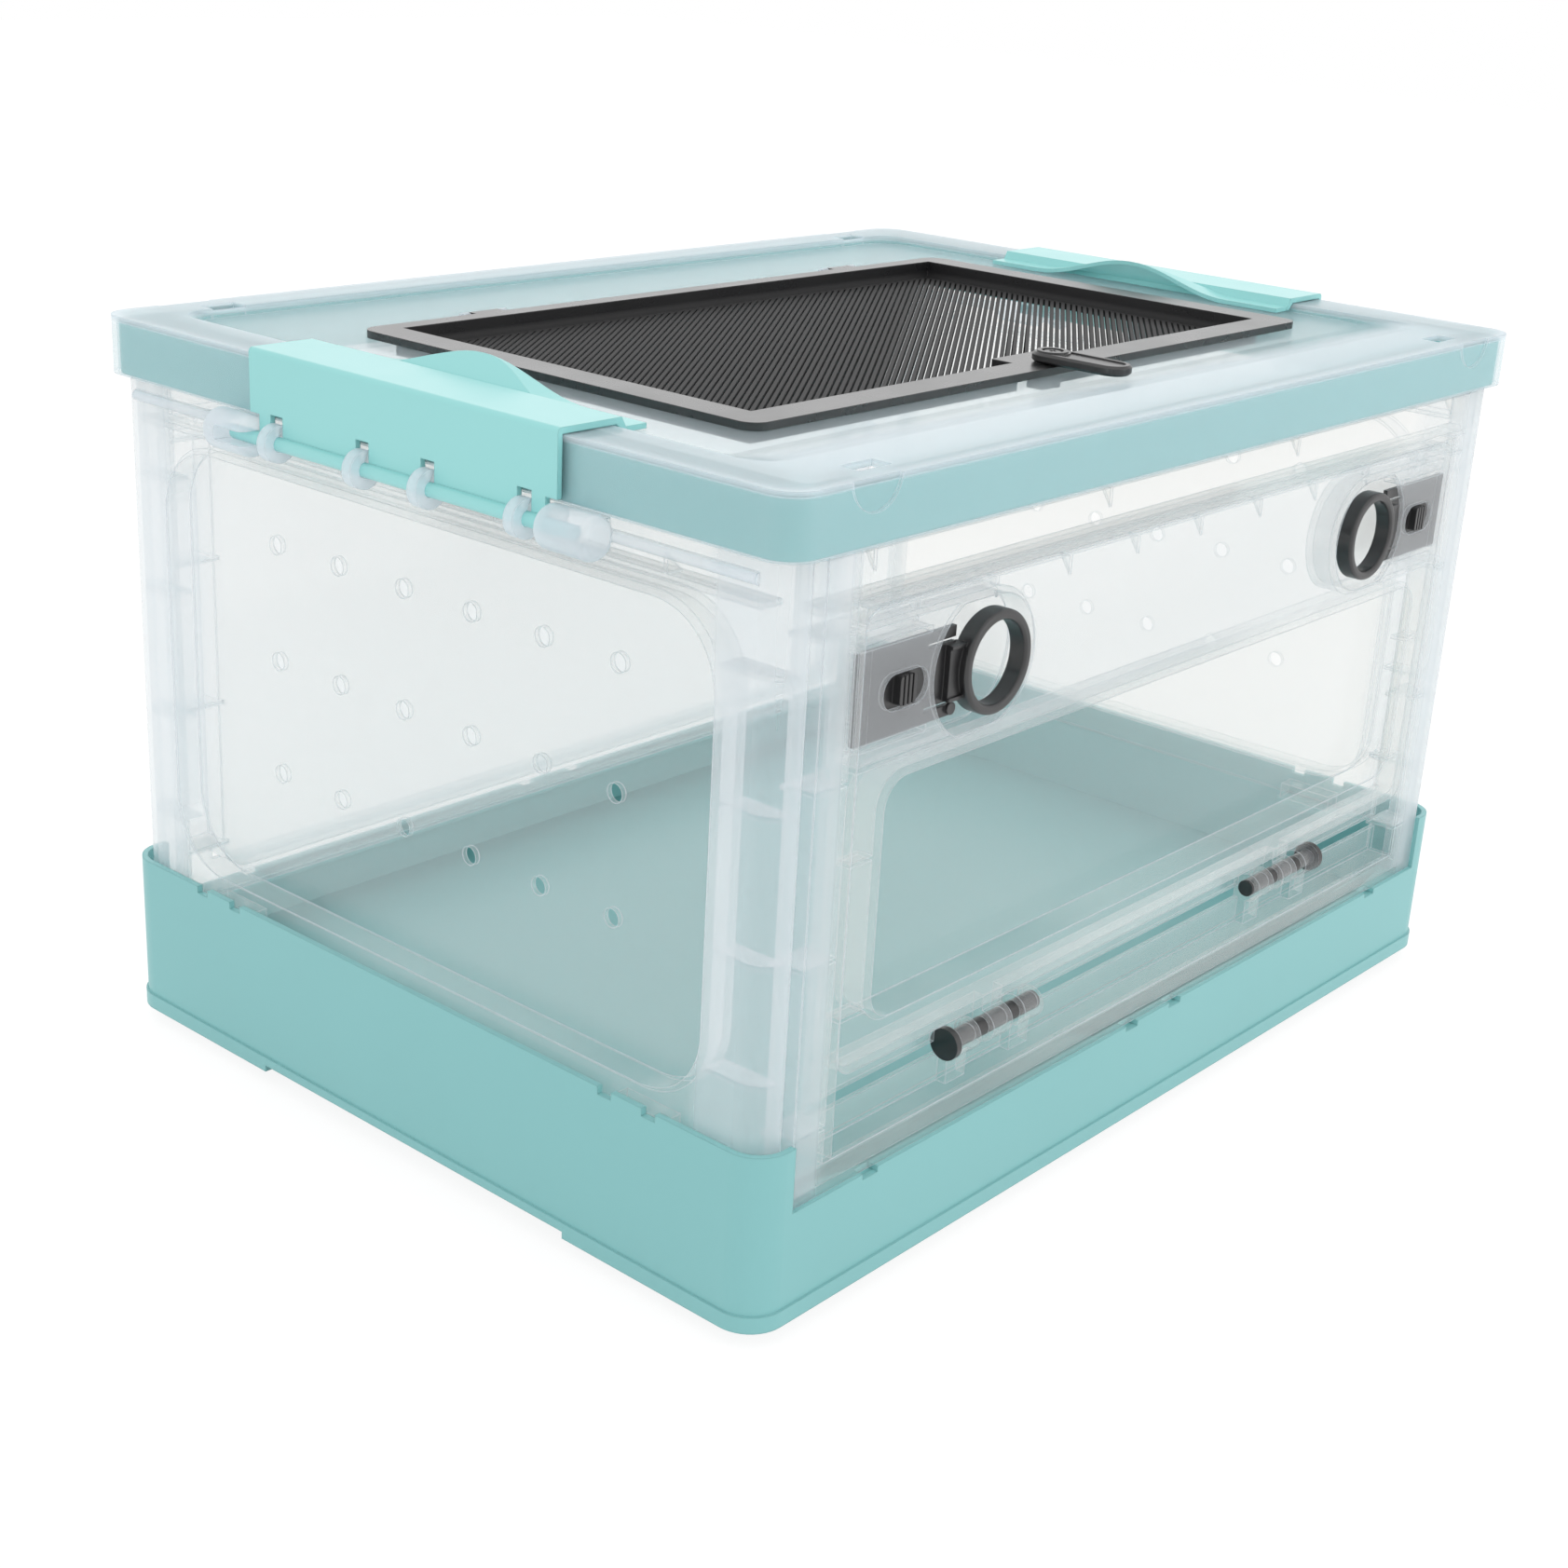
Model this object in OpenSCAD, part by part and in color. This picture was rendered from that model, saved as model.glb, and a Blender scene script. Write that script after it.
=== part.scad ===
// Folding pet keeper: a moulded tub on four rollers, four clear walls, a top ring, a clear lid
// with a grille hatch, two end clips and a drop-down front door with two sliding bolts.
// Origin: centre of the footprint, on the ground. +Z up, the door faces -Y, the clips are on X.

/* [Overall] */
// Outside length over the lid, along X
box_w = 520; // [480:5:600]
// Outside depth over the tub's foot band, along Y
box_d = 386; // [350:2:440]
// Height of the clear walls between the tub's end rim and the lid's skirt
wall_rise = 219; // [205:1:260]
// Thickness of the clear wall mouldings
skin = 2.2; // [1.8:0.1:2.6]
// Gap left between pieces that move past each other
gap = 0.6; // [0.4:0.1:0.8]
// Radial clearance of a running pin
pin_gap = 0.06; // [0.02:0.01:0.09]

/* [Tub] */
// Height of the tub at its ends and corner columns
tub_h = 73; // [68:1:90]
// Height of the tub's low sides, which the long walls stand on
tub_side_h = 46; // [40:1:52]
// Thickness of the tub's walls
tub_wall = 2.6; // [2.2:0.1:3.2]
// Corner radius of the tub, in plan
tub_r = 15; // [12:1:20]
// Height of the foot band round the tub's bottom edge
band_h = 7; // [5:0.5:10]
// How far the foot band stands out from the tub
band_out = 1; // [0.6:0.1:1.5]
// Height of the floor's underside above the tub's bottom edge
floor_up = 18; // [17.5:0.5:22]
// Length of the raised stretch of bottom edge at each end
lift_cut_len = 187; // [150:1:220]
// Height of the raised stretch of bottom edge
lift_cut_h = 3; // [2:0.5:5]

/* [End walls] */
// Distance of the end wall's outer face inside the lid's outer face
end_in = 4.8; // [4.8:0.1:6]
// Corner radius of the end walls, in plan
post_r = 13; // [10:1:15]
// Width of an end wall's frame beside its recessed panel, from the tub's side
end_border = 36; // [33:1:50]
// Depth of the recessed panel behind the frame
end_recess = 12; // [8:1:14]
// Diameter of a vent hole
vent_d = 7.5; // [6:0.5:9]
// Spacing of the vent holes along the wall
vent_dy = 39.6; // [36:0.2:42]
// Spacing of the rows of vent holes
vent_dz = 50; // [44:1:54]

/* [Long walls] */
// Distance of a long wall's end inside the end of the box
wall_in = 21; // [19:1:30]
// Distance of a long wall's outer face inside the foot band
long_in = 2.8; // [2.6:0.1:4]
// Depth of a long wall's frame, from face to back
frame_depth = 14; // [12:1:16]
// Width of a long wall's frame beside the door
door_border = 22; // [21:1:32]
// Height of the opening's lower edge above the tub's bottom edge
sill_z = 59; // [56:1:62]

/* [Door] */
// Height of the door's hinge axis above the tub's bottom edge
hinge_z = 77.3; // [76.5:0.1:80]
// Radius of a hinge knuckle, whose front is flush with the long wall's face
knuckle_r = 6.7; // [6.2:0.1:7]
// Radius of a door hinge pin
door_pin_r = 3.8; // [3.2:0.1:4]
// Height of the door's lower edge above its hinge knuckles
door_lift = 7; // [5:0.5:9]
// Width of the door's frame beside and below its window pocket
pocket_border = 17; // [15:1:30]
// Depth of the window pocket
pocket_depth = 14; // [8:1:14]
// How far the door drops open, in degrees
door_open = 110; // [90:1:112]

/* [Bolts] */
// Height of the lid's skirt above the bolts
bolt_drop = 56; // [54:1:64]
// Outer radius of a pull ring
ring_ro = 20; // [19:0.5:21]
// Inner radius of a pull ring
ring_ri = 16; // [15:0.5:16.5]
// Distance from a pull ring's centre to its bolt's tip
bolt_reach = 75; // [70:1:80]
// How far a bolt slides out from rest to lock the door
bolt_throw = 6; // [4:0.5:8]
// How far a bolt slides in from rest
bolt_back = 1.5; // [1:0.5:3]

/* [Lid and ring] */
// Height of the lid's skirt
skirt_h = 24; // [22:0.5:30]
// Width of the lid's rim along the ends
rim_end = 24.5; // [24:0.5:25.5]
// Width of the lid's rim along the front
rim_front = 34; // [28:1:38]
// Width of the lid's rim along the back
rim_back = 18; // [18:1:22]
// Depth of the lid's panel below its rim
lid_drop = 3.5; // [3:0.5:5]
// Width of the slope from the lid's front rim down to its panel
front_slope = 28; // [20:1:32]

/* [Hatch] */
// Length of the hatch, along X
hatch_w = 386; // [330:2:392]
// Depth of the hatch, along Y
hatch_d = 220; // [190:2:224]
// Width of the hatch's frame at its front and sides
hatch_bar = 16; // [14:1:18]
// Width of the hatch's frame at its back
hatch_back_bar = 9; // [8:1:12]
// Depth of the hatch's tray, from the frame's top to the slats' underside
tray_depth = 11.6; // [9:0.1:13]
// Distance between neighbouring slats
slat_pitch = 2.7; // [2.6:0.1:6]
// Width of the slot between two slats
slat_slot = 1; // [0.8:0.1:1.2]
// How far the hatch swings open, in degrees
hatch_open = 110; // [90:5:120]

/* [Clips] */
// Length of a clip, along Y
clip_len = 173; // [150:1:180]
// Radius of the rod that a clip turns on
rod_r = 2.8; // [2.4:0.1:3]
// Height of the rod below the lid's rim
rod_drop = 32; // [31:0.5:34]
// How far a clip swings open, in degrees
clip_open = 165; // [120:5:170]

/* [Rollers] */
// Radius of a roller
wheel_r = 12; // [11:0.5:14]
// Width of a roller
wheel_w = 9; // [7:0.5:10]
// How far a roller stands below the tub's bottom edge
wheel_gap = 7; // [5:0.5:8]
// Distance of a roller's centre from the end of the box
wheel_in = 44; // [34:1:60]

/* [Hidden] */
$fn = 48;
eps = 0.01;

// Heights above the ground
z0 = wheel_gap;
z_floor = z0 + floor_up;
z_side = z0 + tub_side_h;
z_rim = z0 + tub_h;
z_skirt = z_rim + wall_rise;
z_lid = z_skirt + skirt_h;
z_panel = z_lid - lid_drop;

// Tub
tub_x = box_w / 2 - band_out;
tub_y = box_d / 2 - band_out;
tub_ix = tub_x - tub_wall;
tub_iy = tub_y - tub_wall;
floor_t = 2.5;
ledge_w = 12;
rib_pitch = 62;
rib_t = 2;
rib_h = 9;

// Long walls
long_y = box_d / 2 - long_in;
long_back = long_y - frame_depth;
z_sill = z0 + sill_z;
z_head = z_skirt - 21.5;
front_rib_z = [z_side + 26, z_side + 94, z_skirt - 85, z_skirt - 30];
gusset_w = 5;
gusset_h = 8;
gusset_t = 1.4;
long_half = box_w / 2 - wall_in;
door_half = long_half - door_border;
slot_in = 44;
slot_off = 17;

// End walls
end_x = box_w / 2 - end_in;
end_panel_half = box_d / 2 - end_border;
foot_y = end_panel_half - 32;
foot_half = 14;
foot_slot = 11.5;
shelf_drop = 19;
end_y = long_y - skin - 0.6;
end_depth = 12.2;
z_end_foot = z_rim - 13.5;
z_end_top = z_lid - 2.5 - 2.2;
panel_z1 = z_skirt - 25;
panel_z0 = z_rim + 7;
post_rib_z = [z_rim + 24, z_rim + 71, z_skirt - 92, z_skirt - 42];
panel_r = 30;
vent_rows = 3;
vent_cols = 6;
vent_z = z_skirt - 58.5;

// Ring and lid
lid_y = box_d / 2 - 1;
skirt_t = 2;
ring_gap = 0.4;
ring_x = box_w / 2 - skirt_t - ring_gap;
ring_y = lid_y - skirt_t - ring_gap;
ring_t = 2.2;
ring_w = 20;
ring_side_w = 12;
lid_t = 2.5;
lid_slope = 3.5;
dish_r = 14;
rim_x = box_w / 2 - rim_end;
rim_y0 = -lid_y + rim_front;
rim_y1 = lid_y - rim_back;
lid_r = 13;
ring_r = lid_r - 1;
socket_x = box_w / 2 - 52;
socket_in = 14;
scoop_x = box_w / 2 - 42;
scoop_r = 13;

// Hatch
z_hatch = z_panel + 0.3;
hatch_t = 3.2;
hatch_top = z_hatch + hatch_t;
hatch_r = 8;
tray_w = hatch_w - 2 * hatch_bar;
tray_d = hatch_d - hatch_bar - hatch_back_bar;
tray_wall = 2;
slat_h = 3.2;
z_slat = hatch_top - tray_depth;
slat_angle = 35;
hatch_y = -4;
tray_y = hatch_y + (hatch_bar - hatch_back_bar) / 2;
hole_w = tray_w + 2 * tray_wall + 3;
hole_d = tray_d + 2 * tray_wall + 3;
hatch_back = hatch_y + hatch_d / 2;
hatch_axis_y = hatch_back + 5;
hatch_axis_z = z_panel + 0.9;
trunnion_r = 1.5;
barrel_r = 2.4;
hatch_hinge_x = 120;
tab_w = 16;
lug_w = 4;

// Latch
latch_x = 0;
latch_y = tray_y - tray_d / 2 - 9;
latch_tab_half = 15.5;
latch_tab_in = 10.5;
spindle_r = 3;
cam_reach = 11;
cam_r = 4.5;
cam_w = 8;
cam_t = 3;
lever_len = 38;
lever_w = 16;
lever_t = 4.2;
lever_edge = 1;
lever_hub_r = 6.6;
z_lever = hatch_top + 0.4;
z_cam = z_panel - lid_t - 0.7 - cam_t;
z_screw = z_lever + lever_t - 0.6;
screw_r = 1.5;
screw_head_r = 3.6;
screw_head_h = 1.2;

// Door
z_hinge = z0 + hinge_z;
hinge_y = -(long_y - knuckle_r);
strip_y = hinge_y + knuckle_r - skin;
door_face = long_y - 0.8;
door_x = door_half - 1;
z_door0 = z_hinge + knuckle_r + door_lift;
z_door1 = z_head - 1.2;
door_depth = 12;
z_bolt = z_skirt - bolt_drop;
pocket_half = door_x - pocket_border;
pocket_z0 = z_door0 + pocket_border;
pocket_z1 = z_bolt - 33;
pocket_r = 12;
hinge_x = 112.5;
knuckle_l = 12.5;
knuckle_pitch = 21;
pin_head = 3;
pin_end = 1.5;
door_gusset_n = 4;
door_gusset_pitch = (door_half - 31.8) / door_gusset_n;

// Bolts
bolt_tip = door_x + 0.3;
ring_cx = bolt_tip - bolt_reach;
bolt_h = 34;
bolt_t = 2;
bolt_face = door_face - skin - 0.3;
ring_proud = long_in;
cup_r = 25;
cup_floor = door_face - door_depth;
cup_cx = ring_cx - bolt_back;
cover_r = 28.3;
cover_x = ring_cx + bolt_throw + cover_r;
ring_edge = 1.4;
neck_half = 10.5;
neck_end = 25.6;
slit_z = 12;
slit_end = 36;
nub_r = 2.4;
nub_x = 21;
nub_drop = 14.2;
catch_w = 9;
catch_h = 11;
catch_x = bolt_tip - 24.8;
slot_w = 2 * (catch_w / 2 + bolt_throw + bolt_back + gap);
slot_h = catch_h + 2.4;

// Clips
rod_x = box_w / 2 + 3.2;
z_rod = z_lid - rod_drop;
plate_t = 2.2;
clip_gap = 0.6;
px = box_w / 2 + clip_gap;
z_flange = z_lid + 0.4;
flange_t = 2.4;
clip_edge = 2;
hook_x = box_w / 2 - rim_end - 1;
hook_dx = 3.2;
hook_y = [-70, -18.5, 18.5, 70];
hook_w = 5;
hook_r = 7.5;
notch_w = 7.4;
notch_h = 10.5;
boss_r = 8.4;
boss_l = 26;
boss_in = 4.5;
boss_y = clip_len / 2 - boss_in + boss_l / 2;
bead_r = 2.2;
rod_half = clip_len / 2 + 9.5;
z_lip = z_panel + 0.5;
z_drop = z_lip + 0.3;
lip_t = 2;
lip_x = hook_x - hook_dx;
lip_w = 12;
arch_half = 57;
arch_rise = 11;
arch_steps = 12;

// Rollers
axle_r = 2;
wheel_x = box_w / 2 - wheel_in;
wheel_z = wheel_r;
wheel_y = tub_iy - 2.4 - gap - wheel_w / 2;
cheek_t = 2.4;

clear_plastic = [0.86, 0.9, 0.92, 0.45];
mint = [0.55, 0.8, 0.78];
mint_light = [0.62, 0.86, 0.84];
black = [0.15, 0.15, 0.16];
steel = [0.7, 0.71, 0.73];

// A rectangle with round corners, centred
module rrect(w, d, r) {
    square([w - 2 * r, d], center = true);
    square([w, d - 2 * r], center = true);
    for (sx = [-1, 1], sy = [-1, 1])
        translate([sx * (w / 2 - r), sy * (d / 2 - r)]) circle(r);
}

// A rectangle with round corners, given by its sides
module rrect_at(x0, x1, y0, y1, r) {
    translate([(x0 + x1) / 2, (y0 + y1) / 2]) rrect(x1 - x0, y1 - y0, r);
}

// A flat band round a rounded rectangle
module rband(w, d, r, t) {
    difference() {
        rrect(w, d, r);
        rrect(w - 2 * t, d - 2 * t, max(r - t, 0.5));
    }
}

// A box given by its sides
module box(x0, x1, y0, y1, z0, z1) {
    translate([x0, y0, z0]) cube([x1 - x0, y1 - y0, z1 - z0]);
}

// Extrudes an X-Z outline from y0 to y1
module slab_y(y0, y1) {
    translate([0, y1, 0]) rotate([90, 0, 0]) linear_extrude(y1 - y0) children();
}

// Extrudes a Y-Z outline from x0 to x1
module slab_x(x0, x1) {
    translate([x0, 0, 0]) rotate([90, 0, 90]) linear_extrude(x1 - x0) children();
}

// A bar along X
module bar_x(x0, x1, y, z, r) {
    translate([x0, y, z]) rotate([0, 90, 0]) cylinder(h = x1 - x0, r = r);
}

// A bar along Y
module bar_y(x, y0, y1, z, r) {
    translate([x, y0, z]) rotate([-90, 0, 0]) cylinder(h = y1 - y0, r = r);
}

// ---- Tub ----
module roller_mount(sx, sy) {
    yc = sy * wheel_y;
    out0 = wheel_w / 2 + gap;
    for (side = [-1, 1])
        difference() {
            translate([sx * wheel_x, yc + side * (out0 + cheek_t / 2), 0])
                rotate([90, 0, 0])
                linear_extrude(cheek_t, center = true)
                union() {
                    translate([0, wheel_z]) circle(5);
                    translate([-5, wheel_z]) square([10, z_floor - wheel_z + eps]);
                }
            bar_y(sx * wheel_x, -box_d, box_d, wheel_z, axle_r + 0.02);
        }
}

module tub_shell() {
    // low shell with its foot band
    translate([0, 0, z0]) linear_extrude(tub_side_h)
        rband(2 * tub_x, 2 * tub_y, tub_r, tub_wall);
    translate([0, 0, z0]) linear_extrude(band_h)
        rband(box_w, box_d, tub_r + band_out, band_out + tub_wall / 2);
    // ends and corner columns
    translate([0, 0, z_side - eps]) linear_extrude(tub_h - tub_side_h + eps)
        difference() {
            rband(2 * tub_x, 2 * tub_y, tub_r, tub_wall);
            square([2 * (long_half + gap), 2 * box_d], center = true);
        }
    // ledge under the long walls
    for (sy = [-1, 1])
        translate([0, sy * (tub_iy - ledge_w / 2), z_side - tub_wall])
            linear_extrude(tub_wall)
            square([2 * tub_ix - 2 * tub_r, ledge_w + eps], center = true);
    // floor
    translate([0, 0, z_floor]) linear_extrude(floor_t)
        rrect(2 * tub_ix + eps, 2 * tub_iy + eps, tub_r - tub_wall);
}

module tub_ribs() {
    nx = floor((tub_ix - 40) / rib_pitch);
    ny = floor((tub_iy - 30) / rib_pitch);
    for (i = [-nx : nx])
        box(i * rib_pitch - rib_t / 2, i * rib_pitch + rib_t / 2,
            -tub_iy + 24, tub_iy - 24, z_floor - rib_h, z_floor + eps);
    for (i = [-ny : ny])
        box(-tub_ix + 40, tub_ix - 40,
            i * rib_pitch - rib_t / 2, i * rib_pitch + rib_t / 2, z_floor - rib_h, z_floor + eps);
}

module end_wall_seat() {
    // brackets that carry an end wall's feet
    for (y = [-foot_y, foot_y])
        box(end_x - end_depth, tub_ix + eps, y - foot_half - 2, y + foot_half + 2,
            z_end_foot - 4, z_end_foot);
}

module base_tub() {
    color(mint)
    difference() {
        union() {
            tub_shell();
            tub_ribs();
            for (sx = [-1, 1])
                rotate([0, 0, sx < 0 ? 180 : 0]) end_wall_seat();
            for (sx = [-1, 1], sy = [-1, 1])
                roller_mount(sx, sy);
        }
        // raised stretches of the bottom edge at the ends
        for (sx = [-1, 1])
            translate([sx * box_w / 2, 0, z0 + lift_cut_h / 2])
                cube([20, lift_cut_len, lift_cut_h + eps], center = true);
        // small slots in the end rims
        for (sx = [-1, 1], sy = [-1, 1], k = [-1, 1])
            translate([sx * tub_x, sy * foot_y + k * foot_slot, z_rim - 1.6])
                cube([10, 7, 3.2 + eps], center = true);
        // slots in the low sides
        for (sx = [-1, 1], sy = [-1, 1], x = [slot_off, long_half - slot_in])
            translate([sx * x, sy * tub_y, z_side - 1.2])
                cube([9, 10, 2.4 + eps], center = true);
    }
}

// ---- Long walls ----
module gusset(x, zt) {
    // a small triangle behind the skin, hanging from a shelf whose underside is at zt
    translate([x, -long_y + skin - eps, zt + eps]) rotate([90, 0, 90])
        linear_extrude(gusset_t, center = true)
        polygon([[0, 0], [gusset_w, 0], [0, -gusset_h]]);
}

module long_wall_frame() {
    // frame: skin and returns of a long wall facing -Y, with an open middle
    slab_y(-long_y, -long_y + skin)
        difference() {
            translate([-long_half, z_side]) square([2 * long_half, z_skirt - z_side]);
            translate([-door_half, z_sill]) square([2 * door_half, z_head - z_sill]);
        }
    // returns round the outside
    for (sx = [-1, 1])
        box(sx > 0 ? long_half - skin : -long_half, sx > 0 ? long_half : -long_half + skin,
            -long_y, -long_back, z_side, z_skirt);
    box(-long_half, long_half, -long_y, -long_back, z_side, z_side + skin);
    box(-long_half, long_half, -long_y, -long_back, z_skirt - skin, z_skirt);
    // shelf above the opening
    box(-long_half, long_half, -long_y, -long_back, z_head, z_head + skin);
    // upstand inside the top ring
    box(-long_half, long_half, -ring_y + ring_t + 0.2, -ring_y + ring_t + 0.2 + skin,
        z_skirt - eps, z_end_top);
    for (k = [-1, -1 / 3, 1 / 3, 1]) gusset(k * (long_half - 27), z_skirt - skin);
    // ribs across the side borders
    for (sx = [-1, 1], z = front_rib_z)
        box(sx > 0 ? door_half : -long_half, sx > 0 ? long_half : -door_half,
            -long_y, -long_back + 2, z - 0.8, z + 0.8);
}

module opening_returns() {
    for (sx = [-1, 1])
        difference() {
            box(sx > 0 ? door_half : -door_half - skin, sx > 0 ? door_half + skin : -door_half,
                -long_y, -long_back, z_sill - skin, z_head + eps);
            // pocket that a bolt's tip enters
            translate([sx * (door_half + skin / 2), -(bolt_face - bolt_t / 2), z_bolt])
                cube([skin + 1, bolt_t + 1.2, bolt_h + 2], center = true);
        }
    box(-door_half - skin, door_half + skin, -long_y, -long_back, z_sill - skin, z_sill);
}

module wall_knuckle(x) {
    // knuckle carried on the strip below the door
    difference() {
        union() {
            bar_x(x - knuckle_l / 2, x + knuckle_l / 2, hinge_y, z_hinge, knuckle_r);
            box(x - knuckle_l / 2, x + knuckle_l / 2, hinge_y, hinge_y + knuckle_r,
                z_sill - eps, z_hinge);
        }
        bar_x(x - knuckle_l, x + knuckle_l, hinge_y, z_hinge, door_pin_r + 0.02);
    }
}

module front_wall() {
    color(clear_plastic) {
        long_wall_frame();
        opening_returns();
        // strip behind the knuckles
        box(-door_half, door_half, strip_y, strip_y + skin, z_sill - eps, z_hinge - knuckle_r + gap);
        for (sx = [-1, 1], k = [-1, 1])
            wall_knuckle(sx * hinge_x + k * knuckle_pitch);
    }
}

module back_wall() {
    color(clear_plastic)
    rotate([0, 0, 180]) {
        long_wall_frame();
        // recessed panel instead of a door
        difference() {
            slab_y(-long_y, -long_back)
                rrect_at(-door_half - skin, door_half + skin, z_sill - skin, z_head + skin, 12 + skin);
            slab_y(-long_y - 1, -long_back - skin)
                rrect_at(-door_half, door_half, z_sill, z_head, 12);
        }
    }
}

// ---- End walls ----
module rounded_boss(r, l, e) {
    // a cylinder along Y with rounded ends, centred
    rotate([90, 0, 0]) translate([0, 0, -l / 2]) rotate_extrude()
        union() {
            square([r - e, l]);
            translate([0, e]) square([r, l - 2 * e]);
            for (z = [e, l - e]) translate([r - e, z]) circle(e);
        }
}

module end_wall_body() {
    // wall at the +X end
    x_in = end_x - end_depth;
    difference() {
        translate([0, 0, z_end_foot]) linear_extrude(z_end_top - z_end_foot)
            intersection() {
                rband(2 * end_x, 2 * end_y, post_r, skin);
                translate([x_in, -box_d / 2]) square([end_depth + 5, box_d]);
            }
        slab_x(x_in, end_x + 1)
            rrect_at(-end_panel_half, end_panel_half, panel_z0, panel_z1, panel_r);
    }
    // side walls of the recess and the vented panel
    difference() {
        slab_x(end_x - end_recess - skin, end_x)
            rrect_at(-end_panel_half - skin, end_panel_half + skin,
                     panel_z0 - skin, panel_z1 + skin, panel_r + skin);
        slab_x(end_x - end_recess, end_x + 1)
            rrect_at(-end_panel_half, end_panel_half, panel_z0, panel_z1, panel_r);
        for (i = [0 : vent_cols - 1], j = [0 : vent_rows - 1])
            translate([end_x - end_recess - skin - 1,
                       (i - (vent_cols - 1) / 2) * vent_dy, vent_z - j * vent_dz])
                rotate([0, 90, 0]) cylinder(h = skin + 2, d = vent_d);
    }
    // shelf under the ring and its gussets
    box(x_in, end_x - skin + eps, -end_y + post_r, end_y - post_r,
        z_skirt - shelf_drop, z_skirt - shelf_drop + skin);
    for (k = [-1, -1 / 3, 1 / 3, 1])
        translate([end_x - skin + eps, k * (end_panel_half - 27), z_skirt - shelf_drop + skin - eps])
            rotate([90, 0, 0]) linear_extrude(gusset_t, center = true)
            polygon([[0, 0], [-gusset_h, 0], [0, gusset_h]]);
    // ribs in the corner posts
    for (sy = [-1, 1], z = post_rib_z)
        translate([0, 0, z - 0.8]) linear_extrude(1.6)
            intersection() {
                rrect(2 * end_x - skin, 2 * end_y - skin, post_r - skin / 2);
                translate([x_in, sy > 0 ? end_panel_half + skin / 2 : -end_y])
                    square([end_depth, end_y - end_panel_half - skin / 2]);
            }
}

module clip_hook(y) {
    // C-shaped hook round the rod, open at the top on the wall's side
    translate([rod_x, y, z_rod]) rotate([90, 0, 0]) linear_extrude(hook_w, center = true)
        difference() {
            circle(hook_r);
            circle(rod_r + 0.3);
            rotate(112) translate([0, -1.6]) square([hook_r + 2, 3.2]);
        }
    difference() {
        box(end_x - skin / 2, rod_x, y - hook_w / 2, y + hook_w / 2, z_rod - 3, z_rod + 1);
        bar_y(rod_x, y - hook_w, y + hook_w, z_rod, hook_r - 0.5);
    }
}

module rod_boss(y, open) {
    difference() {
        union() {
            translate([rod_x, y, z_rod]) rounded_boss(boss_r, boss_l, 3.5);
            box(end_x - skin / 2, rod_x, y - boss_l / 2 + 3, y + boss_l / 2 - 3, z_rod - 6, z_rod + 6);
        }
        // blind bore for the rod's end
        s = y > 0 ? 1 : -1;
        translate([rod_x, y - s * (boss_l / 2 + 1), z_rod]) rotate([-s * 90, 0, 0])
            cylinder(h = rod_half - abs(y) + boss_l / 2 + 1 + 0.5, r = rod_r + pin_gap);
        if (open)
            box(rod_x, rod_x + boss_r + 1, y < 0 ? y - 4 : y - boss_l / 2 - 1,
                y < 0 ? y + boss_l / 2 + 1 : y + 4, z_rod - rod_r, z_rod + rod_r);
    }
}

module end_wall_plus() {
    end_wall_body();
    for (y = hook_y) clip_hook(y);
    rod_boss(boss_y, false);
    rod_boss(-boss_y, true);
    // bead that carries the rod's line on to the corners
    for (sy = [-1, 1])
        bar_y(end_x, sy > 0 ? boss_y : post_r - end_y, sy > 0 ? end_y - post_r : -boss_y,
              z_rod, bead_r);
    // feet that stand on the tub's brackets
    for (y = [-foot_y, foot_y])
        box(end_x - end_depth + 1, end_x, y - foot_half, y + foot_half, z_end_foot, z_end_foot + 8);
}

module left_end_wall() {
    color(clear_plastic) rotate([0, 0, 180]) end_wall_plus();
}

module right_end_wall() {
    color(clear_plastic) end_wall_plus();
}

// ---- Ring and lid ----
module top_ring() {
    z_top = z_lid - lid_t;
    color(mint)
    difference() {
        translate([0, 0, z_skirt]) linear_extrude(z_top - z_skirt)
            difference() {
                rrect(2 * ring_x, 2 * ring_y, ring_r);
                rrect(2 * (ring_x - ring_w), 2 * (ring_y - ring_side_w), 4);
            }
        // channel that the walls' tops stand in, open below
        translate([0, 0, z_skirt - 1]) linear_extrude(z_top - ring_t - z_skirt + 1)
            difference() {
                rrect(2 * (ring_x - ring_t), 2 * (ring_y - ring_t), ring_r - ring_t);
                rrect(2 * (ring_x - ring_w + ring_t), 2 * (ring_y - ring_side_w + ring_t), 5);
            }
    }
}

module lid_dish(out, z_top, z_bottom) {
    // the sunk panel's form, lofted from the rim's inner edge down to the panel
    bottom_x = rim_x - lid_slope + out;
    hull() {
        translate([0, 0, z_top - eps]) linear_extrude(eps)
            rrect_at(-rim_x - out, rim_x + out, rim_y0 - out, rim_y1 + out, dish_r);
        translate([0, 0, z_bottom]) linear_extrude(eps)
            rrect_at(-bottom_x, bottom_x, rim_y0 + front_slope - out, rim_y1 - lid_slope + out, dish_r);
    }
}

module latch_notch() {
    // way through the panel for the latch's spindle and cam
    y0 = latch_y - cam_r - 0.8;
    box(latch_x - cam_reach - 1.2, latch_x + cam_r + 1.2, y0, tray_y - hole_d / 2 + 1,
        z_panel - lid_t - 1, z_panel + 1);
}

module hinge_slot(x) {
    // way through the panel for a hinge tab
    box(x - tab_w / 2 - 0.5, x + tab_w / 2 + 0.5, hatch_back - 2, hatch_axis_y + barrel_r + 1,
        z_panel - lid_t - 1, z_panel + 1);
}

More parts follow.
